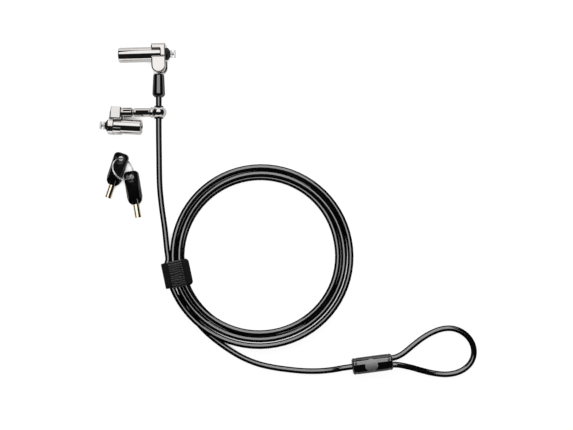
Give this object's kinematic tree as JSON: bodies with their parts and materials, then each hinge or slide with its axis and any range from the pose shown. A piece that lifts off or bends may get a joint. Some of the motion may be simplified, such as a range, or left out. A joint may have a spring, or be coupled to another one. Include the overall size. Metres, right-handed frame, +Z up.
{
  "type": "laptop cable lock",
  "caption": "Steel security cable for a laptop, coiled and strapped, with two hinged tubular-key lock heads, an end loop and a ring of keys.",
  "frame": {"origin": "under the main lock head, at its flat underside, on the line of the cable's end", "axes": "+Z up from the table, +Y from the cable's end past the main head, +X towards the main head's nose"},
  "size_m": [0.2751, 0.2432, 0.0133],
  "materials": {
    "chrome": "polished",
    "steel": "satin",
    "nickel": "polished",
    "brass": "satin",
    "rubber": "matte",
    "jacket": "semi-gloss",
    "moulding": "semi-gloss",
    "key_plastic": "matte",
    "webbing": "matte"
  },
  "bodies": {
    "cable": {"cable_head_run": "jacket", "cable_coil": "jacket", "cable_tail_run": "jacket", "cable_loop": "jacket", "loop_cover": "moulding", "loop_crimp": "steel", "strap": "webbing", "main_tongue": "chrome", "main_sleeve": "rubber"},
    "main_yoke": {"main_yoke": "chrome", "main_hinge_pin": "steel"},
    "main_barrel": {"main_barrel": "chrome", "main_keyway": "steel", "main_stator": "brass", "main_driver_pins": "brass", "main_pin_springs": "steel", "main_core_pin": "steel", "main_nose": "steel", "main_pad": "rubber"},
    "main_core": {"main_rotor": "brass", "main_key_pins": "brass", "main_spindle": "steel"},
    "eyelet_bush": {"eyelet_bush": "rubber"},
    "eyelet": {"eyelet": "chrome", "swivel_pin": "steel"},
    "swivel_fork": {"swivel_fork": "chrome"},
    "second_yoke": {"second_yoke": "chrome", "second_hinge_pin": "steel"},
    "second_barrel": {"second_barrel": "chrome", "second_keyway": "steel", "second_stator": "brass", "second_driver_pins": "brass", "second_pin_springs": "steel", "second_core_pin": "steel", "second_nose": "steel", "second_pad": "rubber"},
    "second_core": {"second_rotor": "brass", "second_key_pins": "brass", "second_spindle": "steel"},
    "key_ring": {"key_ring": "steel"},
    "key_a": {"key_a_bow": "key_plastic", "key_a_tube": "nickel"},
    "key_b": {"key_b_bow": "key_plastic", "key_b_tube": "nickel"}
  },
  "joints": [
    {"name": "main_hinge", "type": "hinge", "parent": "cable", "child": "main_yoke", "pos_m": [0, -0.0013, 0.0065], "axis": [0, 0, 1], "range_deg": [-80, 30]},
    {"name": "main_swivel", "type": "hinge", "parent": "main_yoke", "child": "main_barrel", "pos_m": [-0.00025, 0.0078, 0.0065], "axis": [0.9996, 0.0279, 0], "continuous": true},
    {"name": "main_key_turn", "type": "hinge", "parent": "main_barrel", "child": "main_core", "pos_m": [-0.00025, 0.0078, 0.0065], "axis": [0.9996, 0.0279, 0], "range_deg": [0, 90]},
    {"name": "eyelet_slide", "type": "slide", "parent": "cable", "child": "eyelet_bush", "axis": [0, 1, 0], "range_m": [-0.004, 0.004]},
    {"name": "eyelet_spin", "type": "hinge", "parent": "eyelet_bush", "child": "eyelet", "pos_m": [0, -0.0345, 0.0065], "axis": [0, 1, 0], "continuous": true},
    {"name": "fork_swivel", "type": "hinge", "parent": "eyelet", "child": "swivel_fork", "pos_m": [0, -0.0345, 0.0065], "axis": [1, 0, 0], "continuous": true},
    {"name": "second_hinge", "type": "hinge", "parent": "swivel_fork", "child": "second_yoke", "pos_m": [-0.0303, -0.0345, 0.0065], "axis": [0, 0, 1], "range_deg": [-120, 3]},
    {"name": "second_swivel", "type": "hinge", "parent": "second_yoke", "child": "second_barrel", "pos_m": [-0.03082, -0.04449, 0.0065], "axis": [-0.9986, 0.0523, 0], "continuous": true},
    {"name": "second_key_turn", "type": "hinge", "parent": "second_barrel", "child": "second_core", "pos_m": [-0.03082, -0.04449, 0.0065], "axis": [-0.9986, 0.0523, 0], "range_deg": [0, 90]},
    {"name": "key_set_lift", "type": "slide", "parent": "cable", "child": "key_ring", "axis": [0, 0, 1], "range_m": [0, 0.03]},
    {"name": "key_a_swing", "type": "hinge", "parent": "key_ring", "child": "key_a", "pos_m": [-0.0279, -0.068, 0.004], "axis": [0, 0, 1], "range_deg": [-60, 0]},
    {"name": "key_b_swing", "type": "hinge", "parent": "key_ring", "child": "key_b", "pos_m": [-0.0202, -0.0812, 0.004], "axis": [0, 0, 1], "range_deg": [0, 20]}
  ]
}
